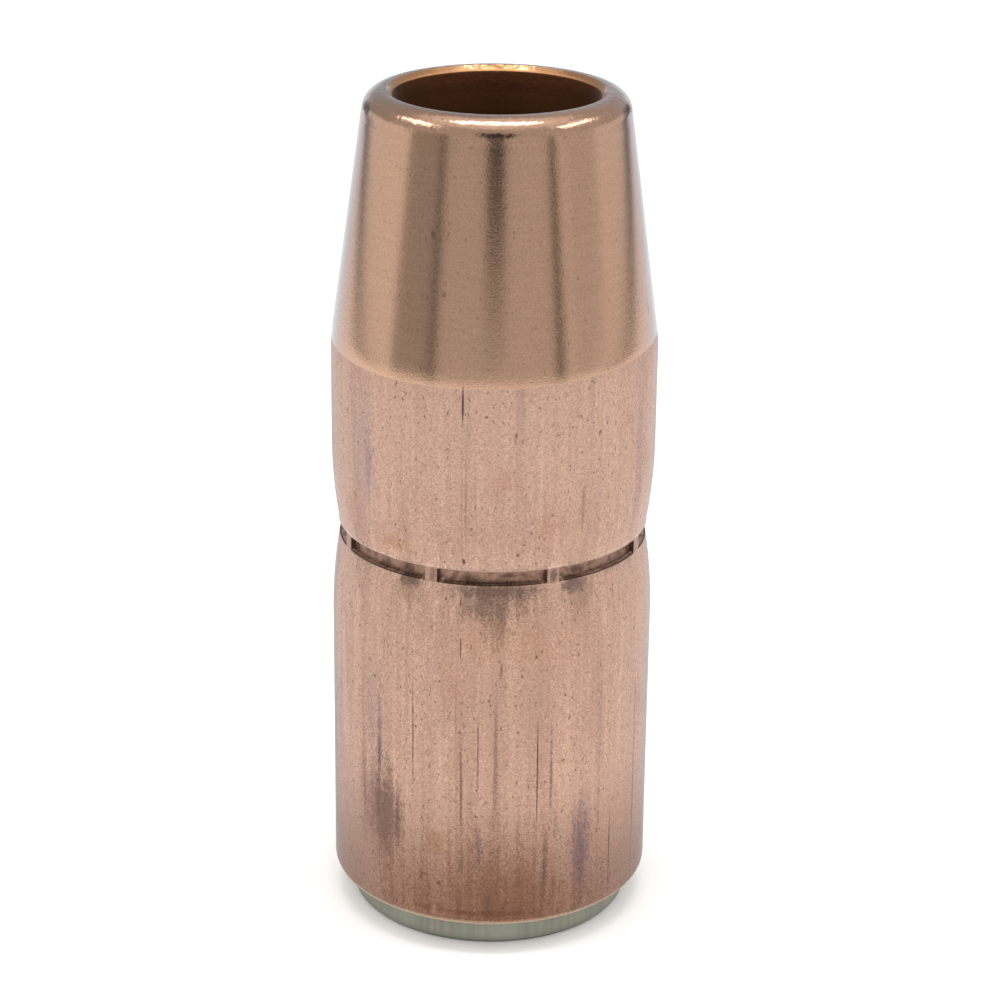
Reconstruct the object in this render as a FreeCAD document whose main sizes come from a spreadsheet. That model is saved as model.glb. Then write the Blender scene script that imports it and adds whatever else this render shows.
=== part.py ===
# A MIG welding nozzle: a copper shell made from drawn tube, crimped over a glass fibre
# insulator that carries a threaded brass insert. All sizes are in millimetres.
#
# The nozzle stands on its rear end. The origin is on the axis at the base of the insulator,
# +Z runs along the axis towards the tip, and the middle jaw mark of the crimp faces -Y.
#
# The sheet holds every size. Widths build up from the thread outwards and heights build up
# from the base, so a piece that grows moves the pieces round it and stays in its seat.

import FreeCAD, Part
import math
import os

import Sketcher

PARTS_FOLDER = "parts"
SHEET = "Sizes"

# Driving sizes: alias, value, what it is.
SIZES = [
    # widths, from the thread outwards
    ("thread_diameter", 15.88, "major diameter of the inside thread"),
    ("insert_wall", 1.27, "wall of the insert outside the thread"),
    ("insulator_wall", 1.9, "wall of the insulator"),
    ("tube_wall", 1.59, "wall of the copper tube"),
    # heights, from the base to the tip
    ("insulator_stand_out", 2.3, "how far the insulator stands out below the shell"),
    ("lower_barrel", 22.44, "straight barrel below the neck"),
    ("neck_slope", 6.6, "length of the neck's curved slope, above and below the crimp"),
    ("inner_slope", 3.0, "length of the slope inside the neck, above and below the crimp"),
    ("crimp_band", 1.16, "height of the band that the jaws press"),
    ("upper_barrel", 8.4, "straight barrel above the neck"),
    ("taper_length", 19.3, "turned taper at the tip"),
    # shell
    ("shell_round", 0.95, "rounding of the shell's rear edge"),
    ("bore_diameter", 15.88, "gas orifice at the tip"),
    ("bore_land", 4.5, "straight length of the orifice, with its chamfer"),
    ("bore_chamfer", 0.4, "chamfer inside the tip"),
    ("tip_wall", 2.1, "wall at the tip, before its edge is rounded"),
    ("tip_round", 1.6, "rounding outside the tip"),
    ("blend_reach", 1.2, "how far the blend of taper and barrel reaches to each side"),
    ("swage_lead", 1.5, "how far below the taper the inside starts to narrow"),
    # crimp
    ("neck_depth", 0.56, "how far the neck lies inside the barrel's surface"),
    ("jaw_count", 8, "jaws of the crimping tool, one mark each"),
    ("jaw_gap_angle", 4.5, "angle left standing between two jaw marks, in degrees"),
    ("jaw_depth", 0.5, "depth of a jaw mark below the neck"),
    ("lock_depth", 0.35, "how far the crimp locks into the insulator's groove"),
    # insulator
    ("insulator_collar", 0.9, "length of the insulator beyond the neck"),
    ("insulator_lip", 1.6, "thickness of the lip that the insert stands on"),
    ("lip_width", 0.75, "how far the lip reaches under the insert"),
    ("insulator_chamfer", 0.4, "chamfer of the insulator's rear edge"),
    # insert
    ("insert_recess", 6.5, "how far the insert lies below the insulator's front end"),
    ("insert_chamfer", 0.6, "chamfer of the insert's front edge"),
    ("thread_pitch", 1.41, "pitch of the inside thread"),
    ("thread_length", 13.0, "threaded length, with its lead-in"),
    ("relief_width", 2.2, "width of the groove behind the thread"),
    ("relief_depth", 0.2, "depth of that groove below the thread's root"),
    ("chamber_wall", 1.6, "wall of the insert round its gas chamber"),
    ("shield_thickness", 4.0, "thickness of the spatter shield"),
    ("tip_hole_diameter", 8.2, "hole for the contact tip"),
    ("tip_seat_depth", 0.7, "depth of the conical seat for the contact tip"),
    ("gas_hole_count", 8, "gas holes in the spatter shield"),
    ("gas_hole_diameter", 1.9, "diameter of a gas hole"),
]

# Sizes that follow from the driving ones: alias and formula.
DERIVED = [
    # radii
    ("thread_root", "thread_diameter / 2"),
    ("thread_depth", "thread_pitch * 5 / 8 * cos(30 deg)"),
    ("thread_crest", "thread_root - thread_depth"),
    ("relief_radius", "thread_root + relief_depth"),
    ("insert_radius", "thread_root + insert_wall"),
    ("insert_front_radius", "insert_radius - insert_chamfer"),
    ("chamber_radius", "insert_radius - chamber_wall"),
    ("lip_radius", "insert_radius - lip_width"),
    ("shell_bore", "insert_radius + insulator_wall"),
    ("tube_radius", "shell_bore + tube_wall"),
    ("neck_radius", "tube_radius - neck_depth"),
    ("mark_radius", "neck_radius - jaw_depth"),
    ("neck_bore", "shell_bore - neck_depth"),
    ("lock_radius", "neck_bore - lock_depth"),
    ("bore_radius", "bore_diameter / 2"),
    ("tip_radius", "bore_radius + tip_wall"),
    ("tip_hole_radius", "tip_hole_diameter / 2"),
    ("seat_radius", "tip_hole_radius + tip_seat_depth"),
    ("gas_hole_radius", "gas_hole_diameter / 2"),
    ("gas_circle_radius", "(seat_radius + chamber_radius) / 2"),
    # heights
    ("neck_low", "insulator_stand_out + lower_barrel"),
    ("band_low", "neck_low + neck_slope"),
    ("band_high", "band_low + crimp_band"),
    ("neck_high", "band_high + neck_slope"),
    ("inner_low", "band_low - inner_slope"),
    ("inner_high", "band_high + inner_slope"),
    ("taper_start", "neck_high + upper_barrel"),
    ("swage_start", "taper_start - swage_lead"),
    ("overall_length", "taper_start + taper_length"),
    ("land_start", "overall_length - bore_land"),
    ("insulator_top", "neck_high + insulator_collar"),
    ("insert_top", "insulator_top - insert_recess"),
    ("insert_shoulder", "insert_top - insert_chamfer"),
    ("shield_low", "insert_top - shield_thickness"),
    ("seat_high", "shield_low + tip_seat_depth"),
    ("lead_in_end", "insulator_lip + thread_depth + relief_depth"),
    ("thread_end", "insulator_lip + thread_length"),
    ("relief_end", "thread_end + relief_width"),
    # blend of taper and barrel
    ("taper_angle", "atan((tube_radius - tip_radius) / taper_length)"),
    ("blend_low", "taper_start - blend_reach"),
    ("blend_high", "taper_start + blend_reach * cos(taper_angle)"),
    ("blend_radius", "tube_radius - blend_reach * sin(taper_angle)"),
    # angle of one jaw mark
    ("jaw_angle", "360 / jaw_count - jaw_gap_angle"),
]

EDGE_TOLERANCE = 0.002


def make_sheet(doc):
    """The sheet of sizes: plain numbers first, then the sizes worked out from them."""
    sheet = doc.addObject("Spreadsheet::Sheet", SHEET)
    row = 1
    for alias, value, meaning in SIZES:
        sheet.set(f"A{row}", meaning)
        sheet.set(f"B{row}", str(value))
        sheet.setAlias(f"B{row}", alias)
        row += 1
    for alias, formula in DERIVED:
        sheet.set(f"B{row}", "=" + formula)
        sheet.setAlias(f"B{row}", alias)
        row += 1
    doc.recompute()
    return sheet


def bind(item, path, alias):
    """Ties a property or a constraint to a cell of the sheet."""
    item.setExpression(path, f"{SHEET}.{alias}")


def origin_of(body, role):
    """The body's own origin plane or axis with that role."""
    return next(item for item in body.Origin.OriginFeatures if item.Role == role)


def new_sketch(body, name, role):
    sketch = body.newObject("Sketcher::SketchObject", name)
    sketch.AttachmentSupport = [(origin_of(body, role), "")]
    sketch.MapMode = "FlatFace"
    return sketch


def slope_arc(start, end, smooth):
    """An arc that runs parallel to the axis at its smooth end, and whether it turns clockwise."""
    level, other = (start, end) if smooth == "start" else (end, start)
    across = other.x - level.x
    along = other.y - level.y
    radius = (across**2 + along**2) / (2 * abs(across))
    centre = level + FreeCAD.Vector(math.copysign(radius, across), 0, 0)
    middle = centre + ((start + end) * 0.5 - centre).normalize() * radius
    clockwise = (end - start).cross(middle - start).z > 0
    return Part.Arc(start, middle, end), clockwise


def draw_profile(body, sheet, name, corners):
    """A closed outline in the XZ plane.

    A corner is a pair of aliases, radius and height, "" being zero. A third word makes the
    edge that starts there a slope arc, and says which of its ends is smooth.
    """
    sketch = new_sketch(body, name, "XZ_Plane")
    corners = [corner if len(corner) == 3 else (*corner, "") for corner in corners]
    points = [
        FreeCAD.Vector(getattr(sheet, across), getattr(sheet, up) if up else 0, 0)
        for across, up, _ in corners
    ]
    count = len(points)
    ends = []
    for i, (_, _, smooth) in enumerate(corners):
        start, end = points[i], points[(i + 1) % count]
        if not smooth:
            sketch.addGeometry(Part.LineSegment(start, end), False)
            ends.append((1, 2))
            continue
        arc, clockwise = slope_arc(start, end, smooth)
        sketch.addGeometry(arc, False)
        ends.append((2, 1) if clockwise else (1, 2))
    for i in range(count):
        after = (i + 1) % count
        is_smooth = corners[i][2] == "end" or corners[after][2] == "start"
        kind = "Tangent" if is_smooth else "Coincident"
        sketch.addConstraint(Sketcher.Constraint(kind, i, ends[i][1], after, ends[after][0]))
    for i, (across, up, _) in enumerate(corners):
        vertex = ends[i][0]
        pin_corner(sketch, i, vertex, "DistanceX", across, points[i].x)
        if up:
            pin_corner(sketch, i, vertex, "DistanceY", up, points[i].y)
        else:
            sketch.addConstraint(Sketcher.Constraint("PointOnObject", i, vertex, -1))
    return sketch


def pin_corner(sketch, edge, vertex, kind, alias, value):
    """Holds an edge's end at a distance from the origin that the sheet sets."""
    place = sketch.addConstraint(Sketcher.Constraint(kind, -1, 1, edge, vertex, value))
    bind(sketch, f"Constraints[{place}]", alias)


def turn(body, sketch, kind, name):
    """Turns a sketch all the way round the Z axis, as added or as removed material."""
    feature = body.newObject(kind, name)
    feature.Profile = sketch
    feature.ReferenceAxis = (sketch, ["V_Axis"])
    feature.Angle = 360
    body.Document.recompute()
    return feature


def repeat_round(body, feature, name, count_alias):
    """Copies a feature evenly round the Z axis."""
    pattern = body.newObject("PartDesign::PolarPattern", name)
    pattern.Originals = [feature]
    pattern.Axis = (origin_of(body, "Z_Axis"), [""])
    pattern.Angle = 360
    bind(pattern, "Occurrences", count_alias)
    body.Tip = pattern
    body.Document.recompute()
    return pattern


def ring_edges(feature, radius, height):
    """Names of the circular edges of that radius at that height."""
    names = []
    for index, edge in enumerate(feature.Shape.Edges, 1):
        curve = edge.Curve
        if not isinstance(curve, Part.Circle):
            continue
        same_radius = abs(curve.Radius - radius) < EDGE_TOLERANCE
        same_height = abs(curve.Center.z - height) < EDGE_TOLERANCE
        if same_radius and same_height:
            names.append(f"Edge{index}")
    if not names:
        raise RuntimeError(f"{feature.Name} has no ring of radius {radius} at height {height}")
    return names


def ease_ring(body, sheet, base, name, kind, ring, size_alias):
    """A fillet or chamfer on one ring edge, given by the aliases of its radius and height."""
    radius, height = (getattr(sheet, alias) if alias else 0 for alias in ring)
    feature = body.newObject(f"PartDesign::{kind}", name)
    feature.Base = (base, ring_edges(base, radius, height))
    bind(feature, "Radius" if kind == "Fillet" else "Size", size_alias)
    body.Document.recompute()
    return feature


def make_shell(doc, sheet):
    """Copper shell: drawn tube, swaged inside and turned to a taper, necked and crimped."""
    body = doc.addObject("PartDesign::Body", "nozzle_shell")
    wall = draw_profile(
        body,
        sheet,
        "ShellProfile",
        [
            ("shell_bore", "insulator_stand_out"),
            ("tube_radius", "insulator_stand_out"),
            ("tube_radius", "neck_low", "start"),
            ("neck_radius", "band_low"),
            ("neck_radius", "band_high", "end"),
            ("tube_radius", "neck_high"),
            ("tube_radius", "blend_low", "start"),
            ("blend_radius", "blend_high"),
            ("tip_radius", "overall_length"),
            ("bore_radius", "overall_length"),
            ("bore_radius", "land_start"),
            ("shell_bore", "swage_start"),
            ("shell_bore", "inner_high"),
            ("neck_bore", "band_high"),
            ("lock_radius", "band_high"),
            ("lock_radius", "band_low"),
            ("neck_bore", "band_low"),
            ("shell_bore", "inner_low"),
        ],
    )
    last = turn(body, wall, "PartDesign::Revolution", "ShellWall")
    rounds = [
        ("TipRound", "Fillet", ("tip_radius", "overall_length"), "tip_round"),
        ("ShellRound", "Fillet", ("tube_radius", "insulator_stand_out"), "shell_round"),
        ("BoreChamfer", "Chamfer", ("bore_radius", "overall_length"), "bore_chamfer"),
    ]
    for name, kind, ring, size_alias in rounds:
        last = ease_ring(body, sheet, last, name, kind, ring, size_alias)

    mark = draw_profile(
        body,
        sheet,
        "JawMarkProfile",
        [
            ("mark_radius", "band_low"),
            ("tube_radius", "band_low"),
            ("tube_radius", "band_high"),
            ("mark_radius", "band_high"),
        ],
    )
    jaw_mark = turn(body, mark, "PartDesign::Groove", "JawMark")
    jaw_mark.Midplane = True
    bind(jaw_mark, "Angle", "jaw_angle")
    doc.recompute()
    repeat_round(body, jaw_mark, "JawMarks", "jaw_count")
    return body


def make_insulator(doc, sheet):
    """Glass fibre sleeve: a lip under the insert, and a waist and square groove for the crimp."""
    body = doc.addObject("PartDesign::Body", "insulator_sleeve")
    section = draw_profile(
        body,
        sheet,
        "SleeveProfile",
        [
            ("lip_radius", ""),
            ("shell_bore", ""),
            ("shell_bore", "inner_low"),
            ("neck_bore", "band_low"),
            ("lock_radius", "band_low"),
            ("lock_radius", "band_high"),
            ("neck_bore", "band_high"),
            ("shell_bore", "inner_high"),
            ("shell_bore", "insulator_top"),
            ("insert_radius", "insulator_top"),
            ("insert_radius", "insulator_lip"),
            ("lip_radius", "insulator_lip"),
        ],
    )
    sleeve = turn(body, section, "PartDesign::Revolution", "Sleeve")
    ring = ("shell_bore", "")
    ease_ring(body, sheet, sleeve, "RearChamfer", "Chamfer", ring, "insulator_chamfer")
    return body


def make_insert(doc, sheet):
    """Brass insert: thread bore, gas chamber, and the spatter shield with its gas holes."""
    body = doc.addObject("PartDesign::Body", "threaded_insert")
    section = draw_profile(
        body,
        sheet,
        "InsertProfile",
        [
            ("relief_radius", "insulator_lip"),
            ("insert_radius", "insulator_lip"),
            ("insert_radius", "insert_shoulder"),
            ("insert_front_radius", "insert_top"),
            ("tip_hole_radius", "insert_top"),
            ("tip_hole_radius", "seat_high"),
            ("seat_radius", "shield_low"),
            ("chamber_radius", "shield_low"),
            ("chamber_radius", "relief_end"),
            ("relief_radius", "relief_end"),
            ("relief_radius", "thread_end"),
            ("thread_crest", "thread_end"),
            ("thread_crest", "lead_in_end"),
        ],
    )
    turn(body, section, "PartDesign::Revolution", "InsertBody")

    hole_sketch = new_sketch(body, "GasHoleSketch", "XY_Plane")
    centre = FreeCAD.Vector(sheet.gas_circle_radius, 0, 0)
    upward = FreeCAD.Vector(0, 0, 1)
    hole_sketch.addGeometry(Part.Circle(centre, upward, sheet.gas_hole_radius), False)
    hole_sketch.addConstraint(Sketcher.Constraint("PointOnObject", 0, 3, -1))
    place = hole_sketch.addConstraint(Sketcher.Constraint("DistanceX", -1, 1, 0, 3, centre.x))
    bind(hole_sketch, f"Constraints[{place}]", "gas_circle_radius")
    size = hole_sketch.addConstraint(Sketcher.Constraint("Radius", 0, sheet.gas_hole_radius))
    bind(hole_sketch, f"Constraints[{size}]", "gas_hole_radius")

    gas_hole = body.newObject("PartDesign::Pocket", "GasHole")
    gas_hole.Profile = hole_sketch
    gas_hole.Type = "Length"
    gas_hole.Reversed = True
    bind(gas_hole, "Length", "overall_length")
    doc.recompute()
    repeat_round(body, gas_hole, "GasHoles", "gas_hole_count")
    return body


def check_and_write(doc, bodies):
    """Stops on any failed object or bad solid, then writes one STEP file for each piece."""
    for item in doc.Objects:
        if "Invalid" in item.State or "Error" in item.State:
            raise RuntimeError(f"{item.Name} failed: {item.State}")
    for body in bodies:
        if body.Shape.isNull() or not body.Shape.isValid() or not body.Shape.Solids:
            raise RuntimeError(f"{body.Name} is not a valid solid")
    os.makedirs(PARTS_FOLDER, exist_ok=True)
    for body in bodies:
        body.Label = body.Name
        body.Shape.exportStep(f"{PARTS_FOLDER}/{body.Label}.step")
        print(body.Label, "volume", round(body.Shape.Volume, 2), "solids", len(body.Shape.Solids))


doc = FreeCAD.newDocument("WeldingNozzle")
sizes = make_sheet(doc)
pieces = [make_shell(doc, sizes), make_insulator(doc, sizes), make_insert(doc, sizes)]
doc.recompute()
check_and_write(doc, pieces)
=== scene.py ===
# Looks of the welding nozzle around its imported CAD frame, lengths in metres, seen as in the photograph.
import math

import bpy
from mathutils import Matrix, Vector


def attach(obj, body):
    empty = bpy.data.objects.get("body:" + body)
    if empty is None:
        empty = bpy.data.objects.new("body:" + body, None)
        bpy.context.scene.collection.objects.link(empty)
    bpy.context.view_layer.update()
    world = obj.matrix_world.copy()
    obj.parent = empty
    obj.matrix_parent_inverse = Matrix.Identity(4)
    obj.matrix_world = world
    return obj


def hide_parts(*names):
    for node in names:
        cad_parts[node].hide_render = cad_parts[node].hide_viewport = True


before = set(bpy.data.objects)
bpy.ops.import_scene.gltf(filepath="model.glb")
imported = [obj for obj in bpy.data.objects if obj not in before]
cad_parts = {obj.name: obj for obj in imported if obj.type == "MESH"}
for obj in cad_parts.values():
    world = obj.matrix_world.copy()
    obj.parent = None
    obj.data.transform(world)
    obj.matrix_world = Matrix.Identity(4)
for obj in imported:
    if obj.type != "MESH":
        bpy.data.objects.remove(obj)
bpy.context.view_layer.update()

# Copper shell.
# The real piece is a drawn copper tube, swaged and turned to a taper at the front, rounded at the rear,
# and crimped on to the insulator by eight jaws, which left a neck and eight marks around it.
MM = 0.001
TUBE_RADIUS = 12.70
TUBE_BORE = 11.11
NECK_RADIUS = 12.14
NECK_BORE = 10.55
LOCK_RADIUS = 10.20
ORIFICE_RADIUS = 7.94
TIP_RADIUS = 10.04
REAR_HEIGHT = 2.3
NECK_LOW, BAND_LOW, BAND_HIGH, NECK_HIGH = 24.74, 31.34, 32.50, 39.10
BLEND_LOW, TAPER_START, BLEND_HIGH, BLEND_RADIUS = 46.3, 47.5, 48.689, 12.536
SWAGE_START, LAND_START, FRONT_HEIGHT = 46.0, 62.3, 66.8
REAR_ROUND, TIP_ROUND, ORIFICE_CHAMFER, NECK_RUN_OUT = 0.95, 1.6, 0.4, 3.0
CURVE_STEPS, BLEND_STEPS = 14, 8
BAND_ROWS = (31.42, 31.50, 31.70, 31.92, 32.14, 32.34, 32.42, 32.50, 32.56, 32.62, 32.68, 32.78, 32.95)
LAST_ROW_SHARE = 0.068


def add(tree, kind, inputs=None, **settings):
    """Adds a node with its settings, and sets or links its inputs, by name or number."""
    node = tree.nodes.new(kind)
    for name, value in settings.items():
        setattr(node, name, value)
    for name, value in (inputs or {}).items():
        if isinstance(value, bpy.types.NodeSocket):
            tree.links.new(value, node.inputs[name])
        else:
            node.inputs[name].default_value = value
    return node


def linear(code):
    """An sRGB hex colour as the linear colour that a socket takes."""
    parts = [int(code[i : i + 2], 16) / 255 for i in (1, 3, 5)]
    return tuple(c / 12.92 if c <= 0.04045 else ((c + 0.055) / 1.055) ** 2.4 for c in parts) + (1.0,)


def rounded(corner, before, after, radius, steps):
    """Points of a round of that radius in a corner, between the directions to the points beside it."""
    c, a, b = Vector(corner), Vector(before), Vector(after)
    to_a, to_b = (a - c).normalized(), (b - c).normalized()
    half = to_a.angle(to_b) / 2
    centre = c + (to_a + to_b).normalized() * radius / math.sin(half)
    start = c + to_a * radius / math.tan(half) - centre
    end = c + to_b * radius / math.tan(half) - centre
    turn = start.angle_signed(end)
    points = []
    for i in range(steps + 1):
        angle = -turn * i / steps
        points.append(
            (
                centre.x + start.x * math.cos(angle) - start.y * math.sin(angle),
                centre.y + start.x * math.sin(angle) + start.y * math.cos(angle),
            )
        )
    return points


def between(first, last, steps):
    """Points on the straight line after the first end, up to the last end."""
    return [
        tuple(f + (l - f) * i / steps for f, l in zip(first, last)) for i in range(1, steps + 1)
    ]


def profile_mesh(name, points):
    """The points of a closed profile, given as radius and height in mm, as a mesh in metres."""
    mesh = bpy.data.meshes.new(name)
    mesh.from_pydata([(r * MM, 0.0, z * MM) for r, z in points], [], [])
    return mesh


def named_tree(name, inputs):
    """A geometry node tree with these named inputs, and its input and output nodes."""
    tree = bpy.data.node_groups.new(name, "GeometryNodeTree")
    tree.interface.new_socket("Geometry", in_out="INPUT", socket_type="NodeSocketGeometry")
    tree.interface.new_socket("Geometry", in_out="OUTPUT", socket_type="NodeSocketGeometry")
    for label, value in inputs.items():
        if isinstance(value, bpy.types.Material):
            kind = "NodeSocketMaterial"
        else:
            kind = "NodeSocketInt" if isinstance(value, int) else "NodeSocketFloat"
        tree.interface.new_socket(label, in_out="INPUT", socket_type=kind)
    return tree, add(tree, "NodeGroupInput"), add(tree, "NodeGroupOutput")


def lathe(tree, given):
    """A grid with a row for each profile point, and the angle, radius and height of its points."""
    position = add(tree, "GeometryNodeInputPosition").outputs[0]
    across = add(tree, "ShaderNodeMath", {0: given.outputs["Columns"], 1: 1.0}, operation="ADD")
    along = add(tree, "ShaderNodeMath", {0: given.outputs["Rows"], 1: 1.0}, operation="ADD")
    grid = add(
        tree,
        "GeometryNodeMeshGrid",
        {"Size X": 1.0, "Size Y": 1.0, "Vertices X": across.outputs[0], "Vertices Y": along.outputs[0]},
    )
    place = add(tree, "ShaderNodeSeparateXYZ", {0: position})
    angle = add(
        tree,
        "ShaderNodeMath",
        {0: place.outputs["X"], 1: math.tau, 2: math.pi},
        operation="MULTIPLY_ADD",
    ).outputs[0]
    share = add(tree, "ShaderNodeMath", {0: place.outputs["Y"], 1: 0.5}, operation="ADD")
    row = add(
        tree, "ShaderNodeMath", {0: share.outputs[0], 1: given.outputs["Rows"]}, operation="MULTIPLY"
    )
    whole = add(tree, "ShaderNodeMath", {0: row.outputs[0]}, operation="ROUND")
    wrapped = add(
        tree, "ShaderNodeMath", {0: whole.outputs[0], 1: given.outputs["Rows"]}, operation="MODULO"
    )
    sample = add(
        tree,
        "GeometryNodeSampleIndex",
        {"Geometry": given.outputs["Geometry"], "Value": position, "Index": wrapped.outputs[0]},
        data_type="FLOAT_VECTOR",
        domain="POINT",
    )
    point = add(tree, "ShaderNodeSeparateXYZ", {0: sample.outputs[0]})
    return grid.outputs["Mesh"], angle, point.outputs["X"], point.outputs["Z"]


def turned(tree, grid, angle, radius, height):
    """The grid set around the axis at these radii and heights, with its seams joined."""
    point = add(tree, "ShaderNodeCombineXYZ", {"X": radius, "Z": height})
    around = add(
        tree,
        "ShaderNodeVectorRotate",
        {"Vector": point.outputs[0], "Angle": angle},
        rotation_type="Z_AXIS",
    )
    moved = add(tree, "GeometryNodeSetPosition", {"Geometry": grid, "Position": around.outputs[0]})
    joined = add(tree, "GeometryNodeMergeByDistance", {"Geometry": moved.outputs[0], "Distance": 1e-7})
    return joined.outputs[0]


def finish_tree(tree, given, geometry, result):
    """Ends a tree with Realize Instances and Set Material."""
    real = add(tree, "GeometryNodeRealizeInstances", {"Geometry": geometry})
    coated = add(
        tree,
        "GeometryNodeSetMaterial",
        {"Geometry": real.outputs[0], "Material": given.outputs["Material"]},
    )
    tree.links.new(coated.outputs[0], result.inputs[0])


def piece_from(name, mesh, tree, inputs, sharp_angle):
    """The plain mesh that a tree makes of a mesh, as an object at the origin."""
    source = bpy.data.objects.new(name + "_source", mesh)
    bpy.context.scene.collection.objects.link(source)
    modifier = source.modifiers.new(tree.name, "NODES")
    modifier.node_group = tree
    sockets = {s.name: s.identifier for s in tree.interface.items_tree if s.in_out == "INPUT"}
    for label, value in inputs.items():
        modifier[sockets[label]] = value
    graph = bpy.context.evaluated_depsgraph_get()
    made = bpy.data.meshes.new_from_object(source.evaluated_get(graph))
    made.name = name
    source.modifiers.remove(modifier)
    bpy.data.objects.remove(source)
    for polygon in made.polygons:
        polygon.use_smooth = True
    made.set_sharp_from_angle(angle=sharp_angle)
    piece = bpy.data.objects.new(name, made)
    bpy.context.scene.collection.objects.link(piece)
    return piece


shell_points = between((TUBE_BORE, REAR_HEIGHT), (TUBE_RADIUS - REAR_ROUND, REAR_HEIGHT), 2)[:-1]
shell_points += rounded(
    (TUBE_RADIUS, REAR_HEIGHT), (TUBE_BORE, REAR_HEIGHT), (TUBE_RADIUS, NECK_LOW), REAR_ROUND, 10
)
shell_points += between(shell_points[-1], (TUBE_RADIUS, NECK_LOW), 10)
NECK_DEPTH = TUBE_RADIUS - NECK_RADIUS
for step in range(1, CURVE_STEPS + 1):
    share = step / CURVE_STEPS
    shell_points.append(
        (TUBE_RADIUS - NECK_DEPTH * share * share, NECK_LOW + (BAND_LOW - NECK_LOW) * share)
    )
for height in BAND_ROWS:
    share = max(0.0, 1 - max(0.0, height - BAND_HIGH) / (NECK_HIGH - BAND_HIGH))
    shell_points.append((TUBE_RADIUS - NECK_DEPTH * (share * share), height))
for step in range(1, CURVE_STEPS + 1):
    share = 1 - LAST_ROW_SHARE - (1 - LAST_ROW_SHARE) * step / CURVE_STEPS
    shell_points.append(
        (TUBE_RADIUS - NECK_DEPTH * share * share, NECK_HIGH - (NECK_HIGH - BAND_HIGH) * share)
    )
shell_points += between((TUBE_RADIUS, NECK_HIGH), (TUBE_RADIUS, BLEND_LOW), 4)
for step in range(1, BLEND_STEPS + 1):
    share = step / BLEND_STEPS
    rise = (BLEND_HIGH - BLEND_LOW) * share
    shell_points.append((TUBE_RADIUS - (TUBE_RADIUS - BLEND_RADIUS) * share * share, BLEND_LOW + rise))
tip = rounded(
    (TIP_RADIUS, FRONT_HEIGHT),
    (TUBE_RADIUS, TAPER_START),
    (ORIFICE_RADIUS, FRONT_HEIGHT),
    TIP_ROUND,
    CURVE_STEPS,
)
chamfer_top = (ORIFICE_RADIUS + ORIFICE_CHAMFER, FRONT_HEIGHT)
chamfer_foot = (ORIFICE_RADIUS, FRONT_HEIGHT - ORIFICE_CHAMFER)
shell_points += between(shell_points[-1], tip[0], 12)[:-1] + tip
shell_points += between(tip[-1], chamfer_top, 2)
shell_points += between(chamfer_top, chamfer_foot, 3)
shell_points += between(chamfer_foot, (ORIFICE_RADIUS, LAND_START), 4)
shell_points += between((ORIFICE_RADIUS, LAND_START), (TUBE_BORE, SWAGE_START), 6)
shell_points += [
    (TUBE_BORE, BAND_HIGH + NECK_RUN_OUT),
    (NECK_BORE, BAND_HIGH),
    (LOCK_RADIUS, BAND_HIGH),
    (LOCK_RADIUS, BAND_LOW),
    (NECK_BORE, BAND_LOW),
    (TUBE_BORE, BAND_LOW - NECK_RUN_OUT),
    (TUBE_BORE, REAR_HEIGHT),
]

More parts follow.
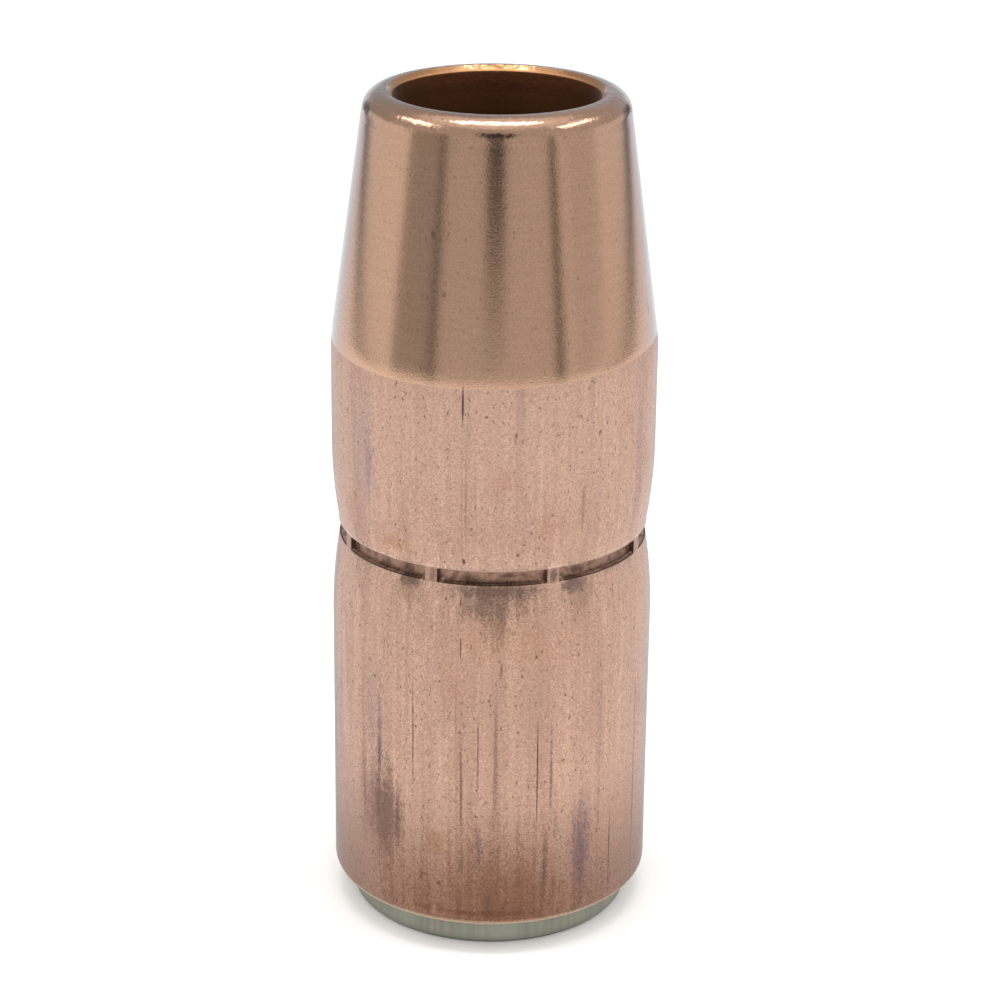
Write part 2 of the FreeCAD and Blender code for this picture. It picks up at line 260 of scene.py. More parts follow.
# Wear seen on the tube, with some rows of painted shade, painted reflection and painted glints: angle from
# the front, height, half angle and half height (degrees and mm), how soft its edge is, its colour, and how
# much of it shows.
STAINS_AND_PAINTED_LIGHT = [
    (0, 21.0, 85, 17.0, 1.0, "#AE8B78", 0.52),
    (0, 35.0, 80, 6.0, 1.0, "#B08D7B", 0.50),
    # The next four rows are painted reflection: greyer, darker sides where the barrel is seen at a grazing
    # angle.
    (-84, 16.0, 17, 22.0, 1.0, "#85796F", 0.80),
    (84, 16.0, 15, 22.0, 1.0, "#A09892", 0.75),
    (-84, 40.0, 14, 10.0, 1.0, "#A3978E", 0.70),
    (84, 40.0, 14, 10.0, 1.0, "#A89C94", 0.75),
    (5, 27.2, 50, 4.4, 0.9, "#BF967A", 0.45),
    (-50, 40.0, 9, 7.0, 0.9, "#B79C93", 0.40),
    (-48, 39.6, 3.0, 2.6, 0.8, "#A3888A", 0.45),
    (-37, 33.9, 7, 0.9, 0.8, "#B28A66", 0.50),
    (32.5, 37.2, 1.0, 2.6, 0.9, "#6E4F40", 0.75),
    (31.5, 36.0, 8, 5.0, 0.9, "#C2A08A", 0.50),
    (-10.4, 46.0, 0.42, 1.7, 0.5, "#5C3F34", 0.90),
    (-10.6, 37.5, 0.28, 9.0, 0.6, "#A17B68", 0.50),
    (-9.3, 38.0, 0.5, 5.5, 1.0, "#8F6F60", 0.45),
    (-10.0, 33.3, 0.7, 0.35, 0.6, "#553A30", 0.85),
    (1.5, 36.5, 0.35, 3.0, 0.8, "#A5806C", 0.35),
    (7.5, 43.6, 0.6, 0.3, 0.7, "#6E4F40", 0.70),
    (0, 30.95, 23, 0.85, 0.7, "#705A4E", 0.80),
    (0, 30.0, 19, 2.2, 0.8, "#80685A", 0.70),
    (2, 28.7, 8, 3.2, 0.9, "#876C5C", 0.60),
    (-31, 31.1, 7, 0.75, 0.7, "#625049", 0.75),
    (-31, 30.2, 9, 1.3, 0.9, "#A58872", 0.50),
    (30, 30.9, 6.5, 0.75, 0.7, "#63544E", 0.75),
    (33, 30.0, 9, 1.3, 0.9, "#A88C7A", 0.45),
    (50, 31.3, 14, 0.6, 0.8, "#A2887A", 0.40),
    (-55, 31.4, 14, 0.5, 0.8, "#A88C7A", 0.40),
    (-28.2, 18.6, 0.36, 7.4, 0.6, "#6C4D40", 0.90),
    (-10.7, 26.3, 0.36, 1.3, 0.6, "#6A4A3C", 0.85),
    (-11.0, 30.1, 0.4, 0.6, 0.6, "#6A4A3C", 0.75),
    (-12.2, 21.0, 0.5, 4.5, 1.0, "#93705F", 0.50),
    (-10.2, 14.6, 0.8, 5.4, 0.9, "#76594B", 0.75),
    (-4.3, 17.6, 0.5, 6.0, 0.8, "#7C605A", 0.75),
    (1.8, 17.4, 1.0, 7.6, 0.9, "#887069", 0.65),
    (3.5, 24.5, 0.8, 1.2, 0.9, "#7F6352", 0.60),
    (16.8, 15.4, 0.34, 5.4, 0.6, "#674A3F", 0.90),
    (22.0, 15.8, 0.9, 6.4, 0.9, "#786660", 0.75),
    (42.5, 15.0, 0.4, 9.5, 0.8, "#9C8078", 0.40),
    (64.0, 13.0, 0.45, 11.0, 0.6, "#7E5E54", 0.80),
    (-71.0, 15.0, 0.5, 11.0, 0.8, "#94796F", 0.60),
    (-47, 18.0, 5.5, 7.5, 1.0, "#A78B86", 0.55),
    (-43.0, 17.0, 1.7, 7.5, 0.9, "#857072", 0.75),
    (-42.8, 15.8, 1.2, 2.2, 0.9, "#655B5C", 0.75),
    (-44, 11.0, 14, 6.6, 0.9, "#86675A", 0.85),
    (-40, 11.0, 9.0, 4.6, 0.9, "#745C53", 0.45),
    (-35.0, 10.6, 1.8, 3.6, 0.8, "#5A4843", 0.60),
    # The next two rows are painted reflection of the shaded floor, darkening the front of the barrel near
    # its foot.
    (4, 5.0, 58, 10.0, 1.0, "#8E6854", 0.80),
    (8, 3.5, 60, 6.5, 1.0, "#7E5846", 0.75),
    (34, 8.6, 9.5, 6.6, 0.9, "#7B6264", 0.80),
    (24, 11.0, 2.0, 3.4, 1.0, "#7F6A66", 0.45),
    (-3.8, 9.4, 1.8, 3.6, 0.9, "#6E5857", 0.70),
    (0.0, 4.3, 2.0, 2.2, 1.0, "#6B5348", 0.60),
    (20.0, 7.5, 1.6, 4.6, 0.9, "#6A524B", 0.65),
    (-9.5, 8.4, 1.4, 2.6, 1.0, "#7A5B4E", 0.60),
    (-19, 9.6, 5.0, 2.0, 1.0, "#A06C4C", 0.55),
    (-18, 6.0, 1.2, 0.4, 0.8, "#5A3D30", 0.70),
    (-2, 3.6, 34, 0.42, 0.9, "#6A4736", 0.60),
    (48.5, 7.4, 0.5, 5.4, 0.7, "#70534A", 0.85),
    # The next two rows are painted shade on the concave webs between the marks.
    (-22.0, 31.9, 1.7, 0.8, 0.5, "#80665A", 0.70),
    (22.6, 31.9, 2.0, 0.8, 0.5, "#7E6356", 0.85),
    # The next four rows are painted glints at the lower corners of the marks.
    (-18.8, 31.42, 0.9, 0.20, 0.6, "#F2D8BC", 0.85),
    (18.6, 31.42, 0.9, 0.20, 0.6, "#EDD2B6", 0.85),
    (-26.2, 31.42, 1.0, 0.20, 0.6, "#EDD0B0", 0.75),
    (26.4, 31.42, 1.0, 0.20, 0.6, "#EFD4B6", 0.85),
    (-9, 31.75, 5.0, 0.5, 0.9, "#3F2C26", 0.60),
    (6, 32.0, 5.5, 0.3, 0.9, "#40302B", 0.55),
    (-33, 31.9, 5.0, 0.45, 0.9, "#42332F", 0.65),
    (33, 31.9, 4.5, 0.45, 0.9, "#3C2F2C", 0.70),
    (72, 50.9, 0.7, 1.0, 0.6, "#5E4B40", 0.85),
    (-24, 58.3, 1.2, 0.5, 0.9, "#6A4B3C", 0.50),
    (-18.5, 54.0, 1.2, 0.4, 0.9, "#6A4B3C", 0.45),
]
CONE_COLOUR, BARREL_COLOUR, BORE_COLOUR = "#C9A289", "#CAA794", "#8E5F40"

patch_mask = bpy.data.node_groups.new("patch mask", "ShaderNodeTree")
PATCH_MEASURES = ("Centre Angle", "Centre Height", "Half Angle", "Half Height", "Edge")
for label in ("Angle", "Height", "Break") + PATCH_MEASURES:
    patch_mask.interface.new_socket(label, in_out="INPUT", socket_type="NodeSocketFloat")
patch_mask.interface.new_socket("Mask", in_out="OUTPUT", socket_type="NodeSocketFloat")
given = add(patch_mask, "NodeGroupInput")
parts = []
for measure in ("Angle", "Height"):
    away = add(
        patch_mask,
        "ShaderNodeMath",
        {0: given.outputs[measure], 1: given.outputs["Centre " + measure]},
        operation="SUBTRACT",
    )
    part = add(
        patch_mask,
        "ShaderNodeMath",
        {0: away.outputs[0], 1: given.outputs["Half " + measure]},
        operation="DIVIDE",
    )
    parts.append(part.outputs[0])
away = add(patch_mask, "ShaderNodeCombineXYZ", {0: parts[0], 1: parts[1]})
away = add(patch_mask, "ShaderNodeVectorMath", {0: away.outputs[0]}, operation="LENGTH")
broken = add(
    patch_mask,
    "ShaderNodeMath",
    {0: given.outputs["Break"], 1: given.outputs["Edge"], 2: away.outputs["Value"]},
    operation="MULTIPLY_ADD",
)
inner = add(patch_mask, "ShaderNodeMath", {0: 1.0, 1: given.outputs["Edge"]}, operation="SUBTRACT")
mask = add(
    patch_mask,
    "ShaderNodeMapRange",
    {
        "Value": broken.outputs[0],
        "From Min": 1.0,
        "From Max": inner.outputs[0],
        "To Min": 0.0,
        "To Max": 1.0,
    },
    interpolation_type="SMOOTHSTEP",
)
add(patch_mask, "NodeGroupOutput", {0: mask.outputs[0]})

copper = bpy.data.materials.new("copper")
copper.use_nodes = True
tree = copper.node_tree
tree.nodes.clear()
place = add(tree, "ShaderNodeTexCoord").outputs["Object"]
in_mm = add(tree, "ShaderNodeMapping", {"Vector": place, "Scale": (1000.0, 1000.0, 1000.0)}).outputs[0]
axes = add(tree, "ShaderNodeSeparateXYZ", {0: in_mm})
height = axes.outputs["Z"]
to_front = add(tree, "ShaderNodeMath", {0: axes.outputs["Y"], 1: -1.0}, operation="MULTIPLY")
turn = add(tree, "ShaderNodeMath", {0: axes.outputs["X"], 1: to_front.outputs[0]}, operation="ARCTAN2")
angle = add(tree, "ShaderNodeMath", {0: turn.outputs[0]}, operation="DEGREES").outputs[0]
flat = add(tree, "ShaderNodeCombineXYZ", {0: axes.outputs["X"], 1: axes.outputs["Y"]})
radius = add(tree, "ShaderNodeVectorMath", {0: flat.outputs[0]}, operation="LENGTH").outputs["Value"]

# Patterns in mm: grain of about 0.15 mm, drawn lines 0.25 mm wide and up to 20 mm long, wider drawn
# bands, pits of 0.3 mm, clouds of 5 mm, and turning lines 0.1 mm apart on the cone.
noises = {}
for label, stretch, scale, detail in (
    ("grain", (1.0, 1.0, 1.0), 7.0, 3.0),
    ("lines", (1.0, 1.0, 0.03), 2.6, 3.0),
    ("bands", (1.0, 1.0, 0.05), 0.55, 3.0),
    ("pits", (1.0, 1.0, 0.6), 4.2, 1.0),
    ("clouds", (1.0, 1.0, 0.6), 0.22, 4.0),
    ("turning", (0.05, 0.05, 1.0), 7.0, 2.0),
    ("mottle", (1.0, 1.0, 1.0), 1.6, 4.0),
):
    spread = add(tree, "ShaderNodeMapping", {"Vector": in_mm, "Scale": stretch})
    noises[label] = add(
        tree, "ShaderNodeTexNoise", {"Vector": spread.outputs[0], "Scale": scale, "Detail": detail}
    ).outputs[0]

# Distances in mm that the masks are read from. The edge of the turned cone runs a little askew.
slope = add(tree, "ShaderNodeMath", {0: axes.outputs["X"], 1: -0.027, 2: height}, operation="MULTIPLY_ADD")
slope = add(
    tree,
    "ShaderNodeMath",
    {0: axes.outputs["Y"], 1: -0.063, 2: slope.outputs[0]},
    operation="MULTIPLY_ADD",
)
bore_edge = add(
    tree,
    "ShaderNodeMapRange",
    {
        "Value": height,
        "From Min": SWAGE_START,
        "From Max": FRONT_HEIGHT,
        "To Min": 11.6,
        "To Max": 8.05,
    },
)
bore_depth = add(tree, "ShaderNodeMath", {0: bore_edge.outputs[0], 1: radius}, operation="SUBTRACT")
away_from = {}
for label, field, centre in (
    ("band", height, (BAND_LOW + BAND_HIGH) / 2),
    ("mark edge", radius, 12.05),
    ("lip", height, BAND_HIGH + 0.16),
    ("front", angle, 0.0),
):
    away = add(tree, "ShaderNodeMath", {0: field, 1: centre}, operation="SUBTRACT")
    away = add(tree, "ShaderNodeMath", {0: away.outputs[0]}, operation="ABSOLUTE")
    away_from[label] = away.outputs[0]

# Masks, each from where it starts to where it is full (mm or degrees), and how much of it shows.
masks = {}
for label, field, begin, full, share in (
    ("cone", slope.outputs[0], 47.92, 48.02, 1.0),
    ("bore", bore_depth.outputs[0], 0.0, 0.1, 1.0),
    ("band", away_from["band"], 0.62, 0.56, 1.0),
    ("inside band", away_from["band"], 0.50, 0.44, 1.0),
    ("sunk", radius, 12.10, 12.02, 1.0),
    ("above floor", radius, 11.68, 11.76, 1.0),
    ("mark edge", away_from["mark edge"], 0.08, 0.03, 0.85),
    ("lip", away_from["lip"], 0.16, 0.05, 0.8),
    ("rear edge", height, 3.0, 2.6, 0.9),
    ("land", height, 66.25, 66.40, 1.0),
    ("orifice", radius, 8.48, 8.30, 0.85),
    ("back", away_from["front"], 169.0, 175.0, 0.75),
    ("tip", height, 64.8, 65.6, 1.0),
):
    masks[label] = add(
        tree,
        "ShaderNodeMapRange",
        {"Value": field, "From Min": begin, "From Max": full, "To Min": 0.0, "To Max": share},
    ).outputs[0]
for label, first, second in (
    ("mark", "sunk", "band"),
    ("wall", "above floor", "mark"),
    ("painted side wall shade", "inside band", "wall"),
    ("outline", "mark edge", "band"),
    ("rim edge", "land", "orifice"),
    ("painted rim back reflection", "land", "back"),
):
    masks[label] = add(
        tree, "ShaderNodeMath", {0: masks[first], 1: masks[second]}, operation="MULTIPLY"
    ).outputs[0]

# What differs between the drawn barrel and the turned cone.
either = {}
for label, on_barrel, on_cone in (
    ("pits", 0.7, 0.3),
    ("grain low", 0.74, 0.90),
    ("grain high", 1.25, 1.10),
    ("roughness", 0.52, 0.12),
):
    either[label] = add(
        tree,
        "ShaderNodeMapRange",
        {
            "Value": masks["cone"],
            "From Min": 0.0,
            "From Max": 1.0,
            "To Min": on_barrel,
            "To Max": on_cone,
        },
    ).outputs[0]

# Coats of colour, each laid over the one before by its share: first the patterns of the drawn tube.
coats = []
for label, low, high, code, share in (
    ("lines", 0.44, 0.30, "#B48E7E", 0.30),
    ("lines", 0.58, 0.72, "#DDBBA8", 0.40),
    ("bands", 0.42, 0.28, "#A98A84", 0.55),
    ("bands", 0.56, 0.72, "#D6B29C", 0.60),
    ("clouds", 0.40, 0.25, "#B98F76", 0.60),
):
    factor = add(
        tree,
        "ShaderNodeMapRange",
        {"Value": noises[label], "From Min": low, "From Max": high, "To Min": 0.0, "To Max": share},
    )
    coats.append((factor.outputs[0], code))
coats.append((masks["cone"], CONE_COLOUR))

# Turning lines on the cone, the crimped band with its marks, painted light on the marks' ledges, painted
# shade on their side walls and outlines, a painted highlight on the lip above them, and dark mottling on
# the marks' floors.
patterns = {}
for label, low, high, share, zone in (
    ("turning", 0.3, 0.7, 0.22, "cone"),
    ("mottle", 0.45, 0.62, 0.6, "mark"),
):
    factor = add(
        tree,
        "ShaderNodeMapRange",
        {"Value": noises[label], "From Min": low, "From Max": high, "To Min": 0.0, "To Max": share},
    )
    patterns[label] = add(
        tree, "ShaderNodeMath", {0: factor.outputs[0], 1: masks[zone]}, operation="MULTIPLY"
    ).outputs[0]
coats += [
    (patterns["turning"], "#A98069"),
    (masks["band"], "#B49483"),
    (masks["mark"], "#A68472"),
    # Painted light on the marks' ledges, lifting the shade that falls on them.
    (masks["wall"], "#DCC0AE"),
    # Painted shade on the marks' side walls and around their outlines.
    (masks["painted side wall shade"], "#4A352C"),
    (masks["outline"], "#3F2C24"),
    # Painted highlight along the lip above the marks.
    (masks["lip"], "#DABFAF"),
    (patterns["mottle"], "#4A352D"),
]

# Painted reflection of the shaded floor, darkening towards the rear end, then the stains and wear, some of
# them painted shade, painted reflection and painted glints, with edges broken up by the patterns.
break_up = None
for label, amount in (("grain", 0.7), ("mottle", 0.7), ("lines", 0.9), ("bands", 1.2)):
    centred = add(tree, "ShaderNodeMath", {0: noises[label], 1: 0.5}, operation="SUBTRACT")
    break_up = add(
        tree,
        "ShaderNodeMath",
        {0: centred.outputs[0], 1: amount, 2: break_up.outputs[0] if break_up else 0.0},
        operation="MULTIPLY_ADD",
    )
broken_height = add(
    tree, "ShaderNodeMath", {0: break_up.outputs[0], 1: -5.0, 2: height}, operation="MULTIPLY_ADD"
)
painted_floor_reflection = add(
    tree,
    "ShaderNodeMapRange",
    {"Value": broken_height.outputs[0], "From Min": 16.0, "From Max": 3.0, "To Min": 0.0, "To Max": 0.78},
    interpolation_type="SMOOTHSTEP",
)
coats.append((painted_floor_reflection.outputs[0], "#937362"))
for *measures, code, share in STAINS_AND_PAINTED_LIGHT:
    patch = add(tree, "ShaderNodeGroup", node_tree=patch_mask)
    for label, value in zip(PATCH_MEASURES, measures):
        patch.inputs[label].default_value = value
    for label, value in (("Angle", angle), ("Height", height), ("Break", break_up.outputs[0])):
        tree.links.new(value, patch.inputs[label])
    factor = add(tree, "ShaderNodeMath", {0: patch.outputs[0], 1: share}, operation="MULTIPLY")
    coats.append((factor.outputs[0], code))
pitted = add(
    tree,
    "ShaderNodeMapRange",
    {"Value": noises["pits"], "From Min": 0.66, "From Max": 0.76, "To Min": 0.0, "To Max": either["pits"]},
).outputs[0]
coats += [
    (pitted, "#684C3F"),
    # Painted reflection of the white floor on the lower part of the rear round.
    (masks["rear edge"], "#DCC0A0"),
    (masks["bore"], BORE_COLOUR),
    (masks["rim edge"], "#C89468"),
    # Painted reflection: a golden orange patch on the far side of the rim land.
    (masks["painted rim back reflection"], "#B88458"),
]
colour = linear(BARREL_COLOUR)
for factor, code in coats:
    colour = add(
        tree, "ShaderNodeMix", {0: factor, 6: colour, 7: linear(code)}, data_type="RGBA"
    ).outputs[2]
grained = add(
    tree,
    "ShaderNodeMapRange",
    {
        "Value": noises["grain"],
        "From Min": 0.28,
        "From Max": 0.72,
        "To Min": either["grain low"],
        "To Max": either["grain high"],
    },
)
colour = add(
    tree,
    "ShaderNodeMix",
    {0: 1.0, 6: colour, 7: grained.outputs[0]},
    data_type="RGBA",
    blend_type="MULTIPLY",
).outputs[2]

# The grain also makes the metal rougher and lifts it a little, the rim has dents, and the pits are sunk.
roughness = add(
    tree,
    "ShaderNodeMath",
    {0: noises["grain"], 1: 0.10, 2: either["roughness"]},
    operation="MULTIPLY_ADD",
)
roughness = add(
    tree, "ShaderNodeMix", {0: masks["bore"], 2: roughness.outputs[0], 3: 0.5}, data_type="FLOAT"
)
dents = add(tree, "ShaderNodeMath", {0: noises["mottle"], 1: masks["tip"]}, operation="MULTIPLY")
dents = add(tree, "ShaderNodeMath", {0: dents.outputs[0], 1: 10.0}, operation="MULTIPLY")
relief = add(
    tree, "ShaderNodeMath", {0: noises["grain"], 1: 1.6, 2: dents.outputs[0]}, operation="MULTIPLY_ADD"
)
relief = add(
    tree, "ShaderNodeMath", {0: pitted, 1: -2.0, 2: relief.outputs[0]}, operation="MULTIPLY_ADD"
)
bump = add(
    tree, "ShaderNodeBump", {"Height": relief.outputs[0], "Strength": 1.0, "Distance": 0.004 * MM}
)
surface = add(
    tree,
    "ShaderNodeBsdfPrincipled",
    {
        "Base Color": colour,
        "Metallic": 1.0,
        "Specular Tint": linear("#D8E8F6"),
        "Roughness": roughness.outputs[0],
        "Normal": bump.outputs[0],
        "Sheen Weight": 0.22,
        "Sheen Roughness": 0.3,
        "Sheen Tint": linear("#E2E9EF"),
    },
)
add(tree, "ShaderNodeOutputMaterial", {"Surface": surface.outputs[0]})

OUTSIDE_FROM, LIP_RISE = 11.5, 0.12
shell_inputs = {
    "Columns": 480,
    "Rows": len(shell_points),
    "Mark Count": 8,
    "Mark Angle": math.radians(40.5),
    "Mark Side": math.radians(0.75),
    "Mark Depth": 0.5 * MM,
    "Mark Wall": 0.08 * MM,
    "Band Low": BAND_LOW * MM,
    "Band High": BAND_HIGH * MM,
    "Lip Height": 0.05 * MM,
    "Material": copper,
}
tree, given, result = named_tree("crimped tube", shell_inputs)
grid, angle, radius, height = lathe(tree, given)
pitch = add(tree, "ShaderNodeMath", {0: math.pi, 1: given.outputs["Mark Count"]}, operation="DIVIDE")
from_centre = add(tree, "ShaderNodeMath", {0: angle, 1: pitch.outputs[0]}, operation="PINGPONG")
half_mark = add(tree, "ShaderNodeMath", {0: given.outputs["Mark Angle"], 1: 0.5}, operation="MULTIPLY")
side_start = add(
    tree, "ShaderNodeMath", {0: half_mark.outputs[0], 1: given.outputs["Mark Side"]}, operation="SUBTRACT"
)
in_mark = add(
    tree,
    "ShaderNodeMapRange",
    {
        "Value": from_centre.outputs[0],
        "From Min": side_start.outputs[0],
        "From Max": half_mark.outputs[0],
        "To Min": 1.0,
        "To Max": 0.0,
    },
)
wall = given.outputs["Mark Wall"]
floor_low = add(tree, "ShaderNodeMath", {0: given.outputs["Band Low"], 1: wall}, operation="ADD")
floor_high = add(tree, "ShaderNodeMath", {0: given.outputs["Band High"], 1: wall}, operation="SUBTRACT")
above = add(
    tree,
    "ShaderNodeMapRange",
    {
        "Value": height,
        "From Min": given.outputs["Band Low"],
        "From Max": floor_low.outputs[0],
        "To Min": 0.0,
        "To Max": 1.0,
    },
)
below = add(
    tree,
    "ShaderNodeMapRange",
    {
        "Value": height,
        "From Min": floor_high.outputs[0],
        "From Max": given.outputs["Band High"],
        "To Min": 1.0,
        "To Max": 0.0,
    },
)
outside = add(tree, "ShaderNodeMath", {0: radius, 1: OUTSIDE_FROM * MM}, operation="GREATER_THAN")
level = add(tree, "ShaderNodeMath", {0: above.outputs[0], 1: below.outputs[0]}, operation="MULTIPLY")
pressed = add(tree, "ShaderNodeMath", {0: level.outputs[0], 1: in_mark.outputs[0]}, operation="MULTIPLY")
pressed = add(tree, "ShaderNodeMath", {0: pressed.outputs[0], 1: outside.outputs[0]}, operation="MULTIPLY")
sunk = add(
    tree, "ShaderNodeMath", {0: pressed.outputs[0], 1: given.outputs["Mark Depth"]}, operation="MULTIPLY"
)
lip_place = add(
    tree, "ShaderNodeMath", {0: height, 1: (BAND_HIGH + LIP_RISE) * MM}, operation="SUBTRACT"
)
lip_away = add(tree, "ShaderNodeMath", {0: lip_place.outputs[0]}, operation="ABSOLUTE")
lip = add(
    tree,
    "ShaderNodeMapRange",
    {
        "Value": lip_away.outputs[0],
        "From Min": 0.0,
        "From Max": LIP_RISE * MM,
        "To Min": 1.0,
        "To Max": 0.0,
    },
)
lip = add(tree, "ShaderNodeMath", {0: lip.outputs[0], 1: in_mark.outputs[0]}, operation="MULTIPLY")
lip = add(tree, "ShaderNodeMath", {0: lip.outputs[0], 1: outside.outputs[0]}, operation="MULTIPLY")
raised = add(
    tree, "ShaderNodeMath", {0: lip.outputs[0], 1: given.outputs["Lip Height"]}, operation="MULTIPLY"
)
change = add(tree, "ShaderNodeMath", {0: raised.outputs[0], 1: sunk.outputs[0]}, operation="SUBTRACT")
final_radius = add(tree, "ShaderNodeMath", {0: radius, 1: change.outputs[0]}, operation="ADD")
finish_tree(tree, given, turned(tree, grid, angle, final_radius.outputs[0], height), result)
SHARP_ANGLE = math.radians(28)
shell = piece_from("shell", profile_mesh("shell_profile", shell_points), tree, shell_inputs, SHARP_ANGLE)
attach(shell, "root")
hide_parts("nozzle_shell")

# Threaded insert.
# The real piece is turned from brass bar: a right-hand thread at the rear, a gas chamber, and a shield
# with a hole for the contact tip and eight drilled gas holes; it is pressed into the sleeve.
THREAD_ROOT, THREAD_CREST, THREAD_PITCH = 7.94, 7.1768, 1.41
THREAD_START, RELIEF_LOW, RELIEF_HIGH, RELIEF_RADIUS = 2.563, 14.6, 16.8, 8.14
ROOT_FLAT, CREST_FLAT = 1 / 8, 1 / 4
INSERT_RADIUS, INSERT_REAR, INSERT_FRONT, FRONT_CHAMFER = 9.21, 1.6, 33.5, 0.6
SHIELD_REAR, CHAMBER_RADIUS, TIP_HOLE, TIP_HOLE_CHAMFER = 29.5, 7.61, 4.1, 0.7
insert_points = [(INSERT_RADIUS, INSERT_REAR)]
insert_points += between(insert_points[0], (INSERT_RADIUS, INSERT_FRONT - FRONT_CHAMFER), 3)
insert_points += [
    (INSERT_RADIUS - FRONT_CHAMFER, INSERT_FRONT),
    (TIP_HOLE, INSERT_FRONT),
    (TIP_HOLE, SHIELD_REAR + TIP_HOLE_CHAMFER),
    (TIP_HOLE + TIP_HOLE_CHAMFER, SHIELD_REAR),
    (CHAMBER_RADIUS, SHIELD_REAR),
    (CHAMBER_RADIUS, RELIEF_HIGH),
    (RELIEF_RADIUS, RELIEF_HIGH),
    (RELIEF_RADIUS, RELIEF_LOW),
    (THREAD_CREST, RELIEF_LOW),
]
insert_points += between((THREAD_CREST, RELIEF_LOW), (THREAD_CREST, THREAD_START), 102)
insert_points += between((THREAD_CREST, THREAD_START), (RELIEF_RADIUS, INSERT_REAR), 8)

brass = bpy.data.materials.new("brass")
brass.use_nodes = True
tree = brass.node_tree
tree.nodes.clear()
# Turning lines about 0.15 mm apart, with tarnish in clouds of a few millimetres.
place = add(tree, "ShaderNodeTexCoord").outputs["Object"]
noises = {}
for label, stretch, scale in (
    ("turning", (40.0, 40.0, 1000.0), 6.0),
    ("clouds", (1000.0, 1000.0, 1000.0), 0.3),
):
    spread = add(tree, "ShaderNodeMapping", {"Vector": place, "Scale": stretch})
    noises[label] = add(
        tree, "ShaderNodeTexNoise", {"Vector": spread.outputs[0], "Scale": scale, "Detail": 3.0}
    ).outputs[0]
tarnish = add(
    tree,
    "ShaderNodeMapRange",
    {"Value": noises["clouds"], "From Min": 0.4, "From Max": 0.7, "To Min": 0.0, "To Max": 0.6},
)
colour = add(
    tree,
    "ShaderNodeMix",
    {0: tarnish.outputs[0], 6: linear("#C4A262"), 7: linear("#8C6A3C")},
    data_type="RGBA",
)
roughness = add(
    tree, "ShaderNodeMath", {0: noises["turning"], 1: 0.25, 2: 0.2}, operation="MULTIPLY_ADD"
)
bump = add(
    tree, "ShaderNodeBump", {"Height": noises["turning"], "Strength": 1.0, "Distance": 0.004 * MM}
)
surface = add(
    tree,
    "ShaderNodeBsdfPrincipled",
    {
        "Base Color": colour.outputs[2],
        "Metallic": 1.0,
        "Roughness": roughness.outputs[0],
        "Normal": bump.outputs[0],
    },
)
add(tree, "ShaderNodeOutputMaterial", {"Surface": surface.outputs[0]})

insert_inputs = {
    "Columns": 144,
    "Rows": len(insert_points),
    "Thread Root": THREAD_ROOT * MM,
    "Thread Crest": THREAD_CREST * MM,
    "Thread Pitch": THREAD_PITCH * MM,
    "Thread End": (RELIEF_LOW + 0.01) * MM,
    "Hole Count": 8,
    "Hole Radius": 0.95 * MM,
    "Hole Circle": 6.205 * MM,
    "Material": brass,
}
tree, given, result = named_tree("threaded insert", insert_inputs)
grid, angle, radius, height = lathe(tree, given)
rise = add(tree, "ShaderNodeMath", {0: height, 1: given.outputs["Thread Pitch"]}, operation="DIVIDE")
turns = add(tree, "ShaderNodeMath", {0: angle, 1: math.tau}, operation="DIVIDE")
phase = add(tree, "ShaderNodeMath", {0: rise.outputs[0], 1: turns.outputs[0]}, operation="SUBTRACT")
wave = add(tree, "ShaderNodeMath", {0: phase.outputs[0], 1: 0.5}, operation="PINGPONG")
flank = add(
    tree,
    "ShaderNodeMapRange",
    {
        "Value": wave.outputs[0],
        "From Min": ROOT_FLAT / 2,
        "From Max": 0.5 - CREST_FLAT / 2,
        "To Min": given.outputs["Thread Root"],
        "To Max": given.outputs["Thread Crest"],
    },
)
on_thread = add(
    tree, "ShaderNodeMath", {0: height, 1: given.outputs["Thread End"]}, operation="LESS_THAN"
)
groove = add(
    tree, "ShaderNodeMath", {0: flank.outputs[0], 1: on_thread.outputs[0]}, operation="MULTIPLY"
)
final_radius = add(tree, "ShaderNodeMath", {0: radius, 1: groove.outputs[0]}, operation="MAXIMUM")
body = turned(tree, grid, angle, final_radius.outputs[0], height)
ring = add(
    tree,
    "GeometryNodeMeshCircle",
    {"Vertices": given.outputs["Hole Count"], "Radius": given.outputs["Hole Circle"]},
)
drill = add(
    tree,
    "GeometryNodeMeshCylinder",
    {"Vertices": 32, "Radius": given.outputs["Hole Radius"], "Depth": 6 * MM},
)
drills = add(
    tree,
    "GeometryNodeInstanceOnPoints",
    {"Points": ring.outputs[0], "Instance": drill.outputs["Mesh"]},
)
drills = add(tree, "GeometryNodeRealizeInstances", {"Geometry": drills.outputs[0]})
drills = add(
    tree,
    "GeometryNodeTransform",
    {"Geometry": drills.outputs[0], "Translation": (0.0, 0.0, (SHIELD_REAR + INSERT_FRONT) / 2 * MM)},
)
drilled = add(
    tree,
    "GeometryNodeMeshBoolean",
    {"Mesh 1": body, "Mesh 2": drills.outputs[0]},
    operation="DIFFERENCE",
)
finish_tree(tree, given, drilled.outputs["Mesh"], result)
insert = piece_from(
    "insert", profile_mesh("insert_profile", insert_points), tree, insert_inputs, SHARP_ANGLE
)
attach(insert, "root")
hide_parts("threaded_insert")

# Insulator sleeve.
# The real piece is moulded and turned glass fibre composite; the crimp holds it in the shell, and its
# rear end stands out a little below the copper.
glass_fibre = bpy.data.materials.new("glass_fibre")
glass_fibre.use_nodes = True
tree = glass_fibre.node_tree
tree.nodes.clear()
